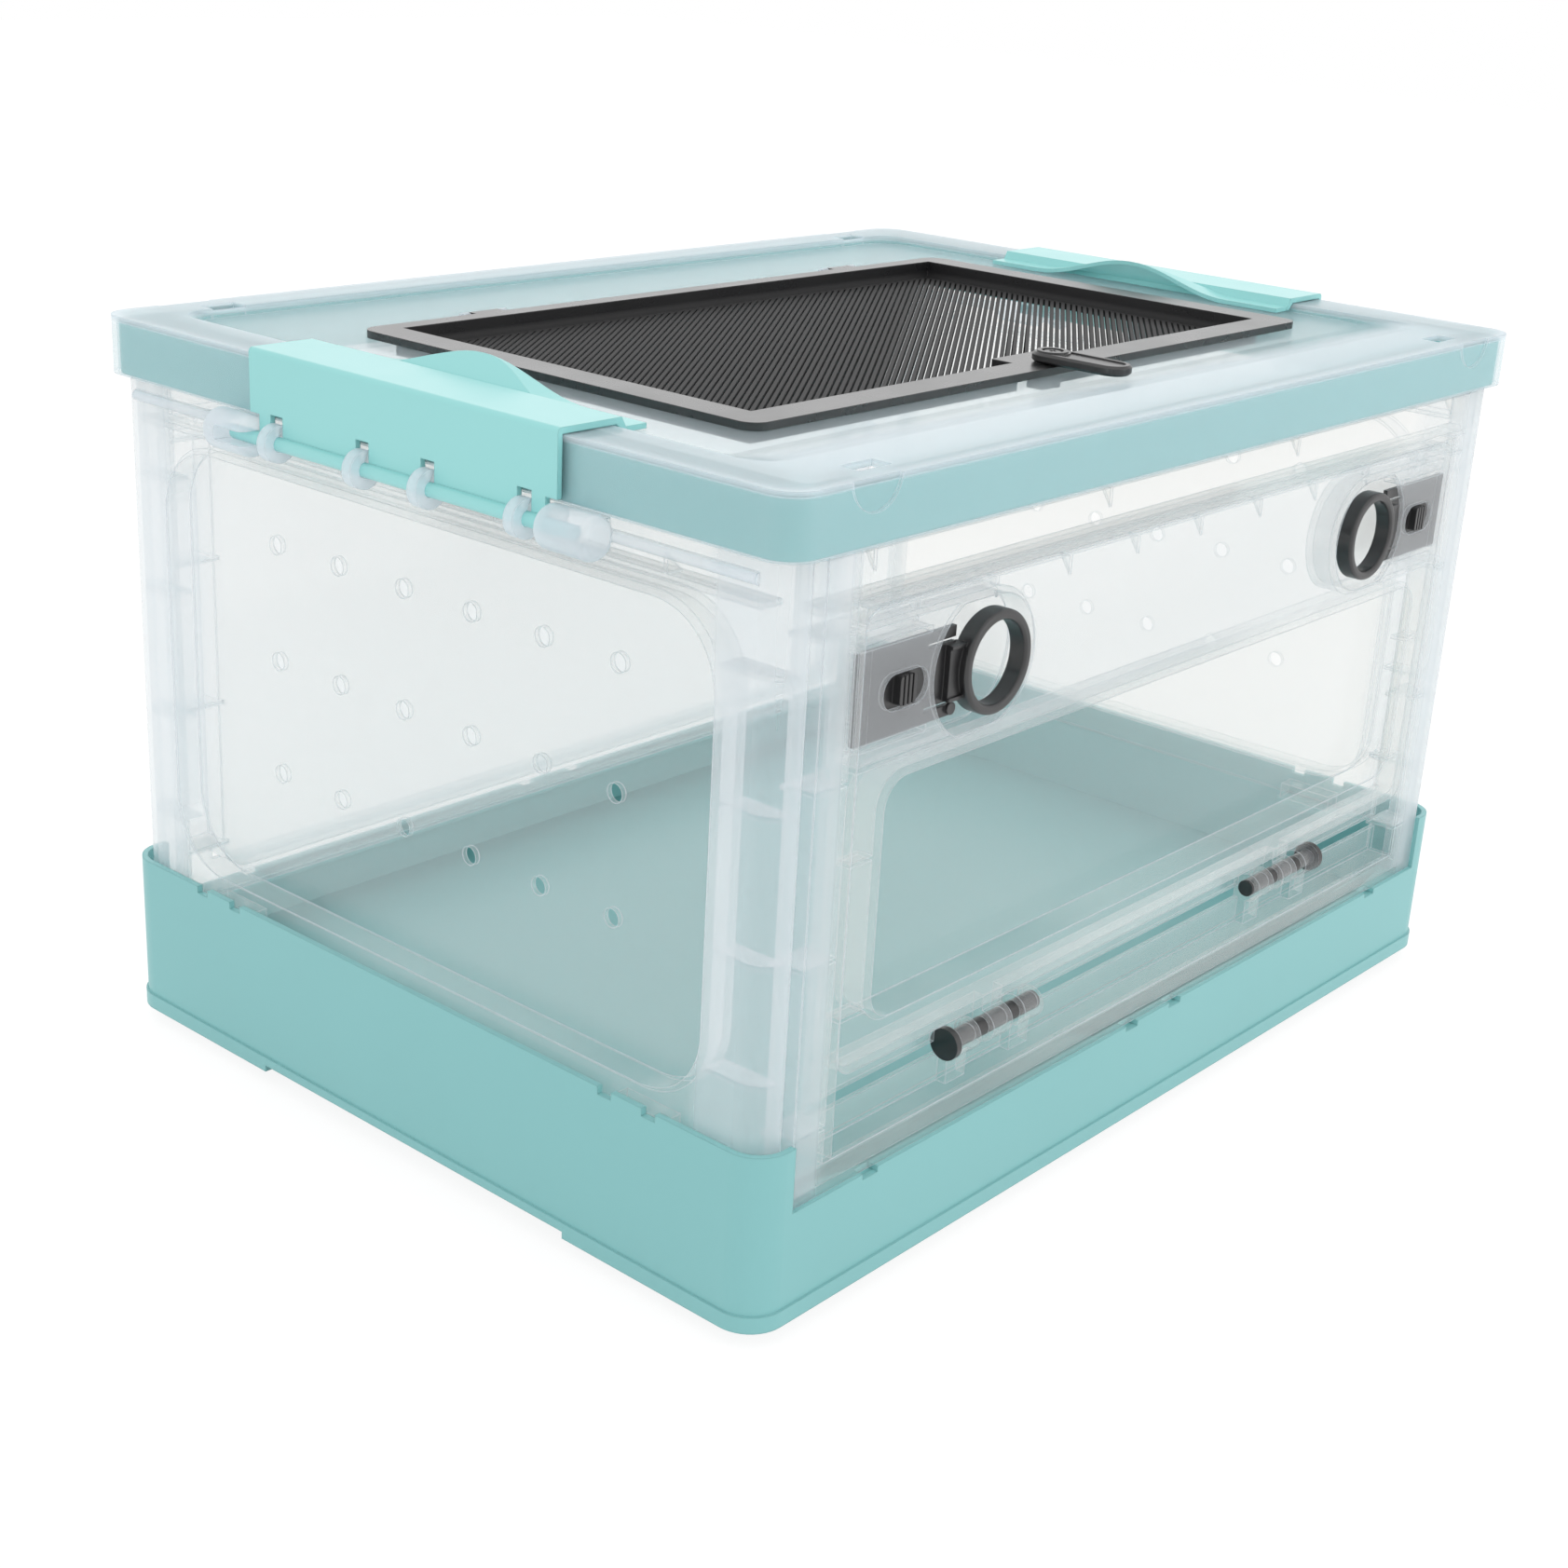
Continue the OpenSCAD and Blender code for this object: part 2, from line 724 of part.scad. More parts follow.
module lid_body() {
    difference() {
        union() {
            // rim and skirt
            translate([0, 0, z_lid - lid_t]) linear_extrude(lid_t)
                rrect(box_w, 2 * lid_y, lid_r);
            translate([0, 0, z_skirt]) linear_extrude(z_lid - z_skirt - eps)
                rband(box_w, 2 * lid_y, lid_r, skirt_t);
            lid_dish(lid_t, z_lid - eps, z_panel - lid_t);
        }
        lid_dish(0, z_lid + 2 * eps, z_panel);
        // hatch opening
        translate([0, tray_y, z_panel - lid_t - 1]) linear_extrude(lid_t + 2)
            rrect(hole_w, hole_d, 3);
        latch_notch();
        for (sx = [-1, 1]) hinge_slot(sx * hatch_hinge_x);
        // handle sockets at the front and back: a slot in the rim and a scoop in the skirt
        for (sx = [-1, 1], sy = [-1, 1]) {
            translate([sx * socket_x, sy * (lid_y - socket_in), z_lid])
                cube([17, 9, 4 * lid_t], center = true);
            translate([sx * scoop_x, sy * (lid_y + 0.8), z_lid + 1])
                rotate([90, 0, 0]) cylinder(h = 4, r = scoop_r, center = true);
        }
    }
}

module hatch_lug(x) {
    bar_x(x - lug_w / 2, x + lug_w / 2, hatch_axis_y, hatch_axis_z, barrel_r);
    box(x - lug_w / 2, x + lug_w / 2, hatch_axis_y - barrel_r, hatch_axis_y + barrel_r,
        z_panel - lid_t, hatch_axis_z);
}

module lid() {
    color(clear_plastic)
    difference() {
        union() {
            lid_body();
            for (sx = [-1, 1], k = [-1, 1])
                hatch_lug(sx * hatch_hinge_x + k * (tab_w / 2 + lug_w / 2 + 0.5));
        }
        // bores for the hatch's trunnions
        for (x = [-hatch_hinge_x, hatch_hinge_x])
            bar_x(x - tab_w / 2 - lug_w - 2, x + tab_w / 2 + lug_w + 2,
                  hatch_axis_y, hatch_axis_z, trunnion_r + pin_gap);
    }
}

// ---- Hatch ----
module tray_outline(out) {
    // inner outline of the hatch's tray, grown by out, less the latch's tab
    difference() {
        translate([0, tray_y]) square([tray_w + 2 * out, tray_d + 2 * out], center = true);
        translate([latch_x, tray_y - tray_d / 2 - out - 1])
            square([2 * (latch_tab_half - out), 2 * (latch_tab_in + 1)], center = true);
    }
}

module slat_field() {
    // the slats: a sheet cut by a row of slanted slots
    n = ceil((tray_w + tray_d) / slat_pitch / 2);
    difference() {
        tray_outline(tray_wall / 2);
        intersection() {
            tray_outline(-1);
            rotate(slat_angle)
                for (i = [-n : n])
                    translate([0, i * slat_pitch])
                        square([2 * hatch_w, slat_slot], center = true);
        }
    }
}

module hatch() {
    color(black) {
        // frame
        translate([0, 0, z_hatch]) linear_extrude(hatch_t)
            difference() {
                translate([0, hatch_y]) rrect(hatch_w, hatch_d, hatch_r);
                tray_outline(0);
                translate([latch_x, latch_y]) circle(spindle_r + pin_gap);
            }
        // tray walls
        translate([0, 0, z_slat]) linear_extrude(hatch_top - z_slat)
            difference() {
                tray_outline(tray_wall);
                tray_outline(0);
            }
        // slats
        translate([0, 0, z_slat]) linear_extrude(slat_h) slat_field();
        // hinge tabs with their trunnions
        for (sx = [-1, 1]) {
            bar_x(sx * hatch_hinge_x - tab_w / 2, sx * hatch_hinge_x + tab_w / 2,
                  hatch_axis_y, hatch_axis_z, barrel_r);
            box(sx * hatch_hinge_x - tab_w / 2, sx * hatch_hinge_x + tab_w / 2,
                hatch_back - 1, hatch_axis_y, hatch_axis_z - barrel_r, hatch_axis_z + barrel_r);
            bar_x(sx * hatch_hinge_x - tab_w / 2 - lug_w, sx * hatch_hinge_x + tab_w / 2 + lug_w,
                  hatch_axis_y, hatch_axis_z, trunnion_r);
        }
    }
}

module lever_outline(in) {
    // from the hub to the rounded tip, shrunk by in
    hull() {
        circle(lever_w / 2 + 0.5 - in);
        translate([0, -lever_len + lever_w / 2]) circle(lever_w / 2 - in);
    }
}

module lever_arm() {
    difference() {
        hull() {
            translate([0, 0, lever_edge]) linear_extrude(lever_t - 2 * lever_edge) lever_outline(0);
            linear_extrude(lever_t) lever_outline(lever_edge);
        }
        // shallow recess in the top
        translate([0, 0, lever_t - 0.6]) linear_extrude(1)
            difference() {
                lever_outline(2.6);
                circle(lever_hub_r + 1);
            }
    }
}

module hatch_lever() {
    color(black)
    translate([latch_x, latch_y, 0])
    difference() {
        union() {
            translate([0, 0, z_lever]) lever_arm();
            // raised hub and the spindle
            translate([0, 0, z_lever]) cylinder(h = z_screw + screw_head_h - z_lever, r = lever_hub_r);
            translate([0, 0, z_cam + cam_t]) cylinder(h = z_lever - z_cam - cam_t + 1, r = spindle_r);
        }
        // seat for the screw's head, and its bore
        translate([0, 0, z_screw]) cylinder(h = 2 * screw_head_h, r = screw_head_r + 1);
        translate([0, 0, z_cam]) cylinder(h = z_screw - z_cam + 1, r = screw_r);
    }
}

module latch_cam() {
    color(black)
    translate([latch_x, latch_y, z_cam])
    linear_extrude(cam_t)
    difference() {
        union() {
            circle(cam_r);
            translate([-cam_reach, -cam_w / 2]) square([cam_reach, cam_w]);
        }
        circle(screw_r);
    }
}

module latch_screw() {
    color(black)
    translate([latch_x, latch_y, 0])
    difference() {
        union() {
            translate([0, 0, z_cam]) cylinder(h = z_screw - z_cam + eps, r = screw_r);
            translate([0, 0, z_screw]) cylinder(h = screw_head_h - 0.4, r = screw_head_r);
        }
        // cross recess
        for (a = [0, 90])
            translate([0, 0, z_screw + screw_head_h]) rotate(a) cube([3.6, 0.9, 2], center = true);
    }
}

// ---- Door ----
module cup_outline(grow) {
    // round-ended recess that runs to the door's side edge
    translate([cup_cx, z_bolt]) circle(cup_r + grow);
    translate([cup_cx, z_bolt - cup_r - grow])
        square([door_x - cup_cx, 2 * (cup_r + grow)]);
}

module cup_mouth() {
    // where the recess shows through the face: round beside the cover's edge
    intersection() {
        union() {
            translate([cup_cx, z_bolt]) circle(cup_r);
            translate([cover_x - cover_r, z_bolt]) circle(cover_r);
            translate([cup_cx, z_bolt - cup_r]) square([cover_x - cover_r - cup_cx, 2 * cup_r]);
        }
        cup_outline(0);
    }
}

module on_side(sx) {
    // places a feature drawn for +X on either side
    mirror([sx < 0 ? 1 : 0, 0, 0]) children();
}

module bolt_guides() {
    // rails that hold the bolt's plate against the cover
    for (s = [-1, 1]) {
        box(cover_x, door_x - skin + eps,
            -door_face + skin - eps, -cup_floor,
            z_bolt + s * (bolt_h / 2 + 1.6) - 1.2, z_bolt + s * (bolt_h / 2 + 1.6) + 1.2);
        box(cover_x, door_x - skin + eps,
            -bolt_face + bolt_t + 0.3, -cup_floor,
            z_bolt + s * 10 - 0.8, z_bolt + s * 10 + 0.8);
    }
}

module door_knuckle(x) {
    difference() {
        union() {
            bar_x(x - knuckle_l / 2, x + knuckle_l / 2, hinge_y, z_hinge, knuckle_r);
            box(x - knuckle_l / 2, x + knuckle_l / 2, hinge_y, strip_y + skin, z_hinge, z_door0 + skin);
        }
        bar_x(x - knuckle_l, x + knuckle_l, hinge_y, z_hinge, door_pin_r + pin_gap);
    }
}

module door_gusset(x) {
    // a small triangle behind the door's skin, hanging from its top edge
    translate([x, -door_face + skin - eps, z_door1 - skin + eps]) rotate([90, 0, 90])
        linear_extrude(gusset_t, center = true)
        polygon([[0, 0], [gusset_w, 0], [0, -gusset_h]]);
}

module door_shell() {
    difference() {
        union() {
            // skin and returns
            slab_y(-door_face, -door_face + skin)
                rrect_at(-door_x, door_x, z_door0, z_door1, 8);
            slab_y(-door_face, -door_face + door_depth)
                difference() {
                    rrect_at(-door_x, door_x, z_door0, z_door1, 8);
                    rrect_at(-door_x + skin, door_x - skin, z_door0 + skin, z_door1 - skin, 6);
                }
            // window pocket
            slab_y(-door_face, -door_face + pocket_depth + skin)
                rrect_at(-pocket_half - skin, pocket_half + skin,
                         pocket_z0 - skin, pocket_z1 + skin, pocket_r + skin);
            // bolt recesses
            for (sx = [-1, 1]) on_side(sx)
                slab_y(-door_face, -cup_floor + skin) cup_outline(skin);
            // strip that carries the knuckles
            box(-door_x, door_x, strip_y, strip_y + skin, z_hinge, z_door0 + skin);
            // ribs of the side edges
            for (sx = [-1, 1], z = [pocket_z0 + 5, pocket_z1 - 29])
                box(sx > 0 ? pocket_half : -door_x, sx > 0 ? door_x : -pocket_half,
                    -door_face, -door_face + door_depth - 3, z - 0.8, z + 0.8);
        }
        slab_y(-door_face - 1, -door_face + pocket_depth)
            rrect_at(-pocket_half, pocket_half, pocket_z0, pocket_z1, pocket_r);
        for (sx = [-1, 1]) on_side(sx) {
            // hollow of the recess behind the cover, and its mouth
            slab_y(-door_face + skin, -cup_floor)
                intersection() {
                    cup_outline(0);
                    translate([0, z_bolt - door_x / 2]) square([door_x - skin, door_x]);
                }
            slab_y(-door_face - 1, -cup_floor) cup_mouth();
            // slot for the catch
            slab_y(-door_face - 1, -door_face + skin + 1)
                translate([catch_x, z_bolt]) rrect(slot_w, slot_h, slot_h / 2 - 0.2);
            // window for the bolt's tip in the side edge
            translate([door_x - skin, -(bolt_face - bolt_t / 2), z_bolt])
                cube([skin * 4, bolt_t + 0.8, bolt_h + 1.2], center = true);
        }
    }
}

module front_door() {
    color(clear_plastic) {
        difference() {
            door_shell();
            // clear of the wall's knuckles and the pins' heads
            for (sx = [-1, 1], k = [-1, 1]) on_side(sx)
                bar_x(hinge_x + k * knuckle_pitch - knuckle_l / 2 - gap,
                      hinge_x + k * knuckle_pitch + knuckle_l / 2 + gap + (k > 0 ? pin_head : 0),
                      hinge_y, z_hinge, knuckle_r + gap);
        }
        for (sx = [-1, 1]) on_side(sx) bolt_guides();
        for (sx = [-1, 1]) door_knuckle(sx * hinge_x);
        for (k = [-door_gusset_n : door_gusset_n]) door_gusset(k * door_gusset_pitch);
    }
}

module door_hinge_pin(sx) {
    // plain at its inner end, with a head at its outer end
    x_end = knuckle_pitch + knuckle_l / 2;
    color(black) on_side(sx) {
        bar_x(hinge_x - x_end - pin_end, hinge_x + x_end + eps, hinge_y, z_hinge, door_pin_r);
        bar_x(hinge_x + x_end, hinge_x + x_end + pin_head, hinge_y, z_hinge, knuckle_r);
    }
}

module door_hinge_pin_left() {
    door_hinge_pin(-1);
}

module door_hinge_pin_right() {
    door_hinge_pin(1);
}

// ---- Bolts ----
module bolt_plate_outline() {
    difference() {
        translate([ring_cx + ring_ro, z_bolt - bolt_h / 2])
            square([bolt_tip - ring_cx - ring_ro, bolt_h]);
        // spring slits
        for (s = [-1, 1])
            translate([ring_cx + ring_ro - 1, z_bolt + s * slit_z - 0.8])
                square([slit_end - ring_ro + 1, 1.6]);
    }
}

module pull_ring() {
    // round-edged ring, standing proud of the wall's face
    depth = long_y + ring_proud - bolt_face + bolt_t;
    translate([ring_cx, -bolt_face + bolt_t, z_bolt]) rotate([90, 0, 0]) rotate_extrude()
        rrect_at(ring_ri, ring_ro, 0, depth, ring_edge);
}

module bolt_neck() {
    // block from the ring to the plate, with a ridge along its top and bottom
    x0 = ring_cx + ring_ro - 3;
    x1 = ring_cx + neck_end;
    box(x0, x1, -door_face, -bolt_face + bolt_t, z_bolt - neck_half, z_bolt + neck_half);
    for (s = [-1, 1])
        box(x0, x1, -long_y, -bolt_face, z_bolt + s * (neck_half - 0.7) - 0.7,
            z_bolt + s * (neck_half - 0.7) + 0.7);
}

module bolt_catch() {
    // ribbed catch that runs in the cover's slot
    difference() {
        slab_y(-door_face - 1, -bolt_face + eps)
            translate([catch_x, z_bolt]) rrect(catch_w, catch_h, 1.6);
        for (k = [-1, 0, 1])
            box(catch_x + k * 2.4 - 0.5, catch_x + k * 2.4 + 0.5, -door_face - 2, -door_face - 0.2,
                z_bolt - catch_h, z_bolt + catch_h);
    }
}

module bolt(sx) {
    color(black) on_side(sx) {
        slab_y(-bolt_face, -bolt_face + bolt_t) bolt_plate_outline();
        pull_ring();
        bolt_neck();
        bolt_catch();
        // stud on the plate
        slab_y(-bolt_face - 1.2, -bolt_face + eps)
            translate([ring_cx + nub_x, z_bolt - nub_drop]) circle(nub_r);
    }
}

module bolt_left() {
    bolt(-1);
}

module bolt_right() {
    bolt(1);
}

// ---- Clips ----
module clip_section() {
    // cross-section at +X, in X-Z: plate, top flange and the sloping drop of the hook
    x1 = px + plate_t;
    z1 = z_flange + flange_t;
    difference() {
        union() {
            translate([px, z_rod]) square([plate_t, z1 - z_rod]);
            translate([hook_x - flange_t, z_flange]) square([x1 - hook_x + flange_t, flange_t]);
        }
        // rounded outer edge
        translate([x1 - clip_edge, z1 - clip_edge]) difference() {
            square(clip_edge + 1);
            circle(clip_edge);
        }
    }
    polygon([[hook_x, z_flange], [lip_x, z_drop], [lip_x - flange_t, z_drop], [hook_x - flange_t, z1]]);
}

function arch(t) = abs(t) > arch_half ? 0 : arch_rise * (0.5 + 0.5 * cos(180 * t / arch_half));

module lip_bulk(down, out) {
    // everything under the lip's top, lowered by down: an arch cut by a plane that climbs to the edge
    z1 = z_lip + lip_t - down;
    z_low = z_lip - lip_t - 2 * down;
    end = clip_len / 2 - 0.3 + out;
    arc = [for (i = [-arch_steps : arch_steps]) arch_half * i / arch_steps];
    intersection() {
        slab_x(lip_x - lip_w - out, lip_x - 0.4 + out)
            polygon(concat([[end, z_low], [-end, z_low], [-end, z1]],
                           [for (y = arc) [y, z1 + arch(y)]], [[end, z1]]));
        slab_y(-end, end)
            polygon([[lip_x + 1, z_low], [lip_x + 1, z1 + 1], [lip_x - lip_w, z1 + arch_rise],
                     [lip_x - lip_w - 2, z1 + arch_rise + 1], [lip_x - lip_w - 2, z_low]]);
    }
}

module clip_lip() {
    // lip along the hook's lower edge, lifted in the middle for a thumb
    difference() {
        lip_bulk(0, 0);
        lip_bulk(lip_t, 0.1);
    }
}

module clip_plus() {
    difference() {
        union() {
            translate([0, clip_len / 2, 0]) rotate([90, 0, 0]) linear_extrude(clip_len)
                clip_section();
            clip_lip();
        }
        // notches that the wall's hooks reach through
        for (y = hook_y)
            translate([rod_x, y, z_rod]) box(-6, 6, -notch_w / 2, notch_w / 2, -6, notch_h);
        // lower corners, clear of the wall's bosses
        for (sy = [-1, 1])
            translate([rod_x, sy * clip_len / 2, z_rod])
                box(-6, 6, -boss_in - 1.2, boss_in + 1.2, -6, boss_r + 1.2);
    }
    // the rod along the plate's lower edge, out to its ends
    bar_y(rod_x, -rod_half, rod_half, z_rod, rod_r);
}

module clip_left() {
    color(mint_light) rotate([0, 0, 180]) clip_plus();
}

module clip_right() {
    color(mint_light) clip_plus();
}

// ---- Rollers ----
module wheel(sx, sy) {
    color(black)
    translate([sx * wheel_x, sy * wheel_y, wheel_z]) rotate([90, 0, 0])
    rotate_extrude()
    difference() {
        union() {
            translate([axle_r + pin_gap, -wheel_w / 2])
                square([wheel_r - axle_r - pin_gap - 1.5, wheel_w]);
            translate([axle_r + pin_gap, -wheel_w / 2 + 1.5])
                square([wheel_r - axle_r - pin_gap, wheel_w - 3]);
            for (s = [-1, 1]) translate([wheel_r - 1.5, s * (wheel_w / 2 - 1.5)]) circle(1.5);
        }
        // shallow dish in each face
        for (s = [-1, 1]) translate([5, s * wheel_w / 2 - 1]) square([4, 2]);
    }
}

module axle(sx, sy) {
    color(steel)
    bar_y(sx * wheel_x, sy * wheel_y - wheel_w / 2 - gap - cheek_t,
          sy * wheel_y + wheel_w / 2 + gap + cheek_t, wheel_z, axle_r);
}

module wheel_front_left() {
    wheel(-1, -1);
}

module wheel_front_right() {
    wheel(1, -1);
}

module wheel_back_left() {
    wheel(-1, 1);
}

module wheel_back_right() {
    wheel(1, 1);
}

module axle_front_left() {
    axle(-1, -1);
}

module axle_front_right() {
    axle(1, -1);
}

module axle_back_left() {
    axle(-1, 1);
}

module axle_back_right() {
    axle(1, 1);
}

base_tub();
front_wall();
back_wall();
left_end_wall();
right_end_wall();
top_ring();
lid();
clip_left();
clip_right();
hatch();
hatch_lever();
latch_cam();
latch_screw();
front_door();
door_hinge_pin_left();
door_hinge_pin_right();
bolt_left();
bolt_right();
wheel_front_left();
wheel_front_right();
wheel_back_left();
wheel_back_right();
axle_front_left();
axle_front_right();
axle_back_left();
axle_back_right();
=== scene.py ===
# %% [markdown]
# A folding pet keeper in moulded polypropylene: a mint tub on rollers, four nearly clear
# walls, a mint ring, a clear lid with a black barred hatch, two mint clips and a drop-down
# door with two black bolts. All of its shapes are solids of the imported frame, so this lesson
# models nothing. It gives the solids their plastics, and sets the camera, the light and the
# floor.

# %% Load the frame
import bpy
import bmesh
from mathutils import Matrix, Vector

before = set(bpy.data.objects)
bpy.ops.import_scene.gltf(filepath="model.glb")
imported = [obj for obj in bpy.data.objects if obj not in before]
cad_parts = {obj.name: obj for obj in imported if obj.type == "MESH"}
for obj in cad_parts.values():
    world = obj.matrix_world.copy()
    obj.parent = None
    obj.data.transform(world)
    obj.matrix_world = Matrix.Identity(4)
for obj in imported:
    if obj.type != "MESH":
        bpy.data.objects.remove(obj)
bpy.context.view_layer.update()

# %% [markdown]
# The camera stands at the left front corner, a little above the lid, and leans by a hair.
# Its axes are written out, because the camera has a small roll that aiming at a point
# would lose.

# %% Camera
CAMERA_PLACE = Vector((-0.8106, -0.6595, 0.5026))
CAMERA_AHEAD = Vector((0.71295, 0.60297, -0.35795)).normalized()
CAMERA_RIGHT = Vector((0.65995, -0.74952, 0.05187)).normalized()
LENS_MM = 53.75
SENSOR_MM = 36.0
NEAR_CLIP = 0.01

camera_data = bpy.data.cameras.new("camera")
camera_data.lens = LENS_MM
camera_data.sensor_width = SENSOR_MM
camera_data.sensor_height = SENSOR_MM
camera_data.clip_start = NEAR_CLIP
camera = bpy.data.objects.new("camera", camera_data)
bpy.context.scene.collection.objects.link(camera)
camera_up = CAMERA_RIGHT.cross(CAMERA_AHEAD).normalized()
turn = Matrix((CAMERA_RIGHT, camera_up, -CAMERA_AHEAD)).transposed()
camera.matrix_world = Matrix.Translation(CAMERA_PLACE) @ turn.to_4x4()
bpy.context.scene.camera = camera
bpy.context.scene.view_settings.view_transform = "Standard"
print("camera at", [round(v, 3) for v in CAMERA_PLACE])

# %% [markdown]
# The world, the floor and every plastic are built from shader nodes. One helper clears an
# owner's node tree and hands back two short calls: one adds a node with its options and
# socket values, and one links two nodes.

# %% Node helper


def node_setter(owner):
    """Clears the nodes of a material or world and returns calls to add and link new ones."""
    owner.use_nodes = True
    tree = owner.node_tree
    tree.nodes.clear()

    def add(kind, sockets=None, **options):
        node = tree.nodes.new("ShaderNode" + kind)
        for key, value in options.items():
            setattr(node, key, value)
        for key, value in (sockets or {}).items():
            node.inputs[key].default_value = value
        return node

    def join(a, a_socket, b, b_socket):
        tree.links.new(a.outputs[a_socket], b.inputs[b_socket])

    return add, join


# %% [markdown]
# The room is a white studio. The camera, reflections and rays that pass through clear
# plastic see a white background, while the light that falls on the object stays at a plain
# level, so colours come out about as they are written. Light Path tells the rays apart.

# %% World
WHITE = (1, 1, 1, 1)
AMBIENT = 0.97

world = bpy.data.worlds.new("studio")
bpy.context.scene.world = world
add, join = node_setter(world)
world_out = add("OutputWorld")
seen = add("Background", {"Color": WHITE, "Strength": 1.0})
glow = add("Background", {"Color": WHITE, "Strength": AMBIENT})
path = add("LightPath")
camera_or_glossy = add("Math", operation="MAXIMUM")
any_seen = add("Math", operation="MAXIMUM")
choose = add("MixShader")
join(path, "Is Camera Ray", camera_or_glossy, 0)
join(path, "Is Glossy Ray", camera_or_glossy, 1)
join(camera_or_glossy, 0, any_seen, 0)
join(path, "Is Transmission Ray", any_seen, 1)
join(any_seen, 0, choose, "Fac")
join(glow, 0, choose, 1)
join(seen, 0, choose, 2)
join(choose, 0, world_out, "Surface")
print("world light at", AMBIENT)

# %% [markdown]
# Four soft boxes light the keeper: one over it, one from the left, a stronger one from the
# front, and one behind it, whose reflection lies on everything that faces up. Each is an
# area lamp aimed at the middle of the keeper, with its place, its size and its power in watts.

# %% Lamps
AIM = Vector((0, 0, 0.16))
SOFT_BOXES = {
    "light_over": ((0.1, -0.1, 1.7), (1.6, 1.2), 1.5),
    "light_left": ((-1.7, 0.2, 0.8), (1.0, 1.2), 1.5),
    "light_front": ((0.5, -1.8, 0.7), (1.4, 1.0), 5),
    "light_back": ((1.3, 1.2, 0.95), (1.8, 0.9), 2.5),
}
for name, (place, size, power) in SOFT_BOXES.items():
    lamp_data = bpy.data.lights.new(name, "AREA")
    lamp_data.shape = "RECTANGLE"
    lamp_data.size, lamp_data.size_y = size
    lamp_data.energy = power
    lamp = bpy.data.objects.new(name, lamp_data)
    lamp.location = place
    lamp.rotation_euler = (AIM - Vector(place)).to_track_quat("-Z", "Y").to_euler()
    bpy.context.scene.collection.objects.link(lamp)
print("soft boxes:", ", ".join(SOFT_BOXES))

# %% [markdown]
# A flat white floor stands under the keeper. Seen directly it is mostly its own glow, so it
# meets the white of the background, and the matte share under it keeps the keeper's soft
# shadow.

# %% Floor
FLOOR_HALF = 6.0
FLOOR_WHITE = (0.9, 0.9, 0.9, 1)
FLOOR_GLOW = 1.1
GLOW_SHARE = 0.8

floor_mesh = bpy.data.meshes.new("floor")
grid = bmesh.new()
bmesh.ops.create_grid(grid, x_segments=1, y_segments=1, size=FLOOR_HALF)
grid.to_mesh(floor_mesh)
grid.free()
floor = bpy.data.objects.new("floor", floor_mesh)
bpy.context.scene.collection.objects.link(floor)

floor_white = bpy.data.materials.new("floor_white")
add, join = node_setter(floor_white)
floor_out = add("OutputMaterial")
matte = add("BsdfDiffuse", {"Color": FLOOR_WHITE})
lit = add("Emission", {"Color": WHITE, "Strength": FLOOR_GLOW})
path = add("LightPath")
any_seen = add("Math", operation="MAXIMUM")
part_glow = add("Math", {1: GLOW_SHARE}, operation="MULTIPLY")
share = add("MixShader")
join(path, "Is Camera Ray", any_seen, 0)
join(path, "Is Glossy Ray", any_seen, 1)
join(any_seen, 0, part_glow, 0)
join(part_glow, 0, share, "Fac")
join(matte, 0, share, 1)
join(lit, 0, share, 2)
join(share, 0, floor_out, "Surface")
floor_mesh.materials.append(floor_white)
print("floor", 2 * FLOOR_HALF, "m wide")

# %% [markdown]
# Moulded polypropylene has a fine satin grain, a slight drift of colour and edges that the
# mould has eased by about a millimetre. Two helpers build these on Object coordinates, so
# every piece shares the same scale. The eased edge is a Bevel node, which turns the normal
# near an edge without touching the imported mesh.

# %% Drift and grain
DRIFT_DETAIL = 3
GRAIN_DETAIL = 2
EDGE_SAMPLES = 4


def drift(add, join, coords, scale, low, high):
    """Noise mapped to a narrow range of values."""
    noise = add("TexNoise", {"Scale": scale, "Detail": DRIFT_DETAIL})
    span = add("MapRange", {"To Min": low, "To Max": high})
    join(coords, "Object", noise, "Vector")
    join(noise, "Fac", span, "Value")
    return span


def eased_grain(add, join, coords, radius, scale, strength, distance):
    """The normal of an eased edge, and the same with a fine grain on top, as two nodes."""
    eased = add("Bevel", {"Radius": radius}, samples=EDGE_SAMPLES)
    fine = add("TexNoise", {"Scale": scale, "Detail": GRAIN_DETAIL})
    bump = add("Bump", {"Strength": strength, "Distance": distance})
    join(coords, "Object", fine, "Vector")
    join(fine, "Fac", bump, "Height")
    join(eased, "Normal", bump, "Normal")
    return eased, bump


# %% [markdown]
# The coloured plastics are opaque enough to be one Principled shader each: satin mint for
# the tub and ring, a glossier light mint for the clips, and a shiny black for the hatch,
# bolts and rollers. The slats of the hatch are rougher than its frame, so they stay dark
# when light comes in low. They lie deeper than the frame, and a height tells them apart.

# %% Coloured plastics
TONE_SCALE = 9
ROUGH_SCALE = 35
ROUGH_SPREAD = 0.05
GRAIN_DEPTH = 0.0003
DULL = 0.85
DULL_FADE = 0.004
SLATS_TOP = 0.3145


